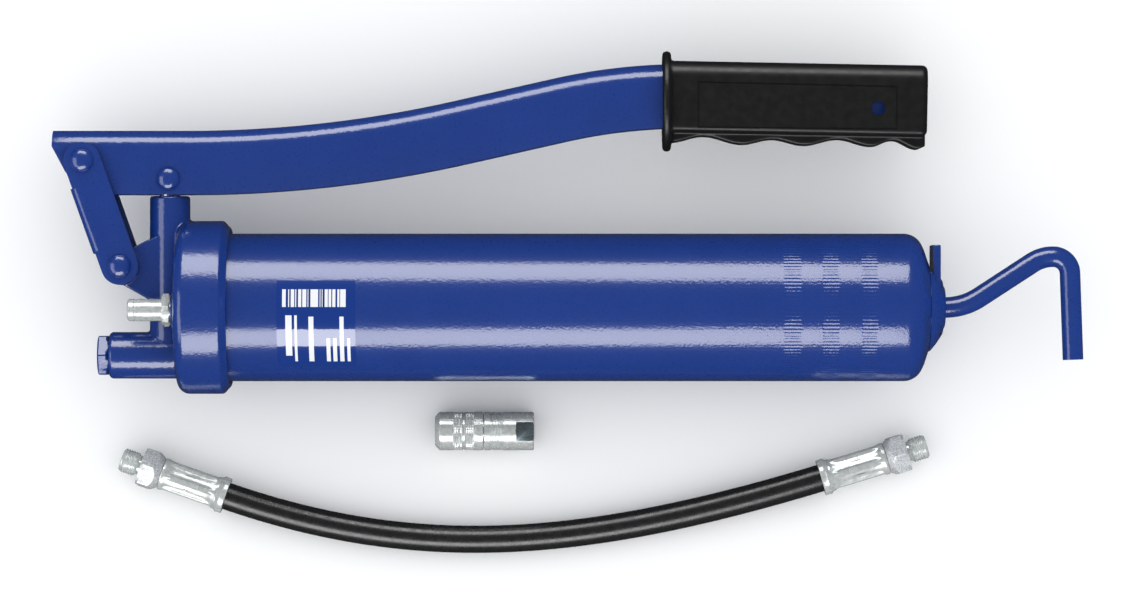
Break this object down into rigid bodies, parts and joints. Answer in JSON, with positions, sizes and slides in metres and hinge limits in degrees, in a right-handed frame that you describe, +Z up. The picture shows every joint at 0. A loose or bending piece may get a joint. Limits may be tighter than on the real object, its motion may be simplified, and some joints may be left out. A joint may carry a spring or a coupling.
{
  "type": "lever grease gun",
  "caption": "Hand lever grease gun with a painted cylinder, cranked pull rod and plastic lever grip, lying with its loose hose and loose nipple coupler.",
  "frame": {"origin": "on the surface the kit lies on, under the middle of the gun and its coupler", "axes": "+X along the barrel to the pull handle, +Y from the barrel to the lever, +Z up"},
  "size_m": [0.3978, 0.1955, 0.0668],
  "materials": {
    "blue_paint": "glossy blue powder coat with fine orange peel",
    "zinc_plate": "bright zinc plating",
    "steel": "bare steel",
    "rubber": "moulded nitrile rubber",
    "hose_rubber": "matte black hose cover",
    "black_plastic": "satin black moulded plastic",
    "copper": "plain copper"
  },
  "bodies": {
    "head": {"pump_head": "blue_paint", "outlet_valve_screw": "blue_paint", "outlet_washer": "copper", "outlet_spring": "steel", "filler_nipple": "zinc_plate", "filler_spring": "steel", "plunger_packing": "rubber", "link_lower_rivet": "blue_paint"},
    "plunger": {"pump_plunger": "steel", "plunger_pin": "blue_paint"},
    "lever": {"lever_channel": "blue_paint", "lever_grip": "black_plastic"},
    "link": {"link_plate": "blue_paint", "link_upper_rivet": "blue_paint"},
    "outlet_check": {"outlet_ball": "steel"},
    "filler_check": {"filler_ball": "steel"},
    "gasket": {"head_gasket": "rubber"},
    "barrel": {"barrel_tube": "blue_paint", "rear_cap": "blue_paint", "spring_seat": "steel", "rod_seal": "rubber", "follower_spring": "steel", "release_spring": "steel"},
    "catch": {"release_plate": "blue_paint"},
    "follower": {"follower_cup": "rubber", "follower_front_plate": "steel", "follower_rear_plate": "steel"},
    "rod": {"pull_rod": "blue_paint", "rod_nut": "steel"},
    "coupler": {"coupler_body": "zinc_plate", "coupler_spring": "steel"},
    "sleeve": {"coupler_sleeve": "zinc_plate"},
    "jaws": {"coupler_jaw_1": "steel", "coupler_jaw_2": "steel", "coupler_jaw_3": "steel", "coupler_jaw_4": "steel", "coupler_seal": "rubber"},
    "coupler_check": {"coupler_ball": "steel"},
    "hose": {"hose_tube": "hose_rubber", "hose_ferrule_left": "zinc_plate", "hose_ferrule_right": "zinc_plate", "hose_stem_left": "zinc_plate", "hose_stem_right": "zinc_plate"}
  },
  "joints": [
    {"name": "plunger_stroke", "type": "slide", "parent": "head", "child": "plunger", "axis": [0, 1, 0], "range_m": [0, 0.026]},
    {"name": "lever_swing", "type": "hinge", "parent": "plunger", "child": "lever", "pos_m": [-0.15405, 0.02795, 0.0334], "axis": [0, 0, 1], "range_deg": [0, 42]},
    {"name": "link_swing", "type": "hinge", "parent": "head", "child": "link", "pos_m": [-0.17255, -0.00575, 0.0334], "axis": [0, 0, 1], "range_deg": [-4, 1]},
    {"name": "outlet_valve", "type": "slide", "parent": "head", "child": "outlet_check", "axis": [-1, 0, 0], "range_m": [0, 0.0008], "stiffness_N_per_m": 100, "springref_m": -0.003, "deforming": ["outlet_spring"]},
    {"name": "filler_valve", "type": "slide", "parent": "head", "child": "filler_check", "axis": [1, 0, 0], "range_m": [0, 0.0008], "stiffness_N_per_m": 60, "springref_m": -0.003, "deforming": ["filler_spring"]},
    {"name": "barrel_advance", "type": "slide", "parent": "head", "child": "gasket", "axis": [1, 0, 0], "range_m": [0, 0.012]},
    {"name": "barrel_turn", "type": "hinge", "parent": "gasket", "child": "barrel", "pos_m": [-0.15405, -0.02155, 0.0334], "axis": [1, 0, 0], "range_deg": [0, 2160]},
    {"name": "release_tilt", "type": "hinge", "parent": "barrel", "child": "catch", "pos_m": [0.14165, -0.03055, 0.0334], "axis": [0, 0, 1], "range_deg": [0, 2], "stiffness_Nm_per_rad": 2, "springref_deg": -2.86, "deforming": ["release_spring"]},
    {"name": "rod_pull", "type": "slide", "parent": "barrel", "child": "follower", "axis": [1, 0, 0], "range_m": [0, 0.215], "deforming": ["follower_spring"]},
    {"name": "rod_turn", "type": "hinge", "parent": "follower", "child": "rod", "pos_m": [0.14535, -0.02155, 0.0334], "axis": [1, 0, 0], "continuous": true},
    {"name": "coupler_lift", "type": "slide", "parent": "head", "child": "coupler", "axis": [0, 0, 1], "range_m": [0, 0.15]},
    {"name": "sleeve_turn", "type": "hinge", "parent": "coupler", "child": "sleeve", "pos_m": [-0.0523, -0.07005, 0.0075], "axis": [1, 0, 0], "continuous": true},
    {"name": "jaws_push", "type": "slide", "parent": "coupler", "child": "jaws", "axis": [1, 0, 0], "range_m": [0, 0.0015], "stiffness_N_per_m": 800, "springref_m": -0.002, "deforming": ["coupler_spring"]},
    {"name": "coupler_valve", "type": "slide", "parent": "coupler", "child": "coupler_check", "axis": [1, 0, 0], "range_m": [0, 0.001]},
    {"name": "hose_lift", "type": "slide", "parent": "head", "child": "hose", "axis": [0, 0, 1], "range_m": [0, 0.15]}
  ],
  "couplings": [
    {"joint": "plunger_stroke", "follows": "lever_swing", "m_per_rad": 0.033919},
    {"joint": "link_swing", "follows": "lever_swing", "ratio": -0.08},
    {"joint": "barrel_advance", "follows": "barrel_turn", "m_per_rad": 0.00031831}
  ]
}
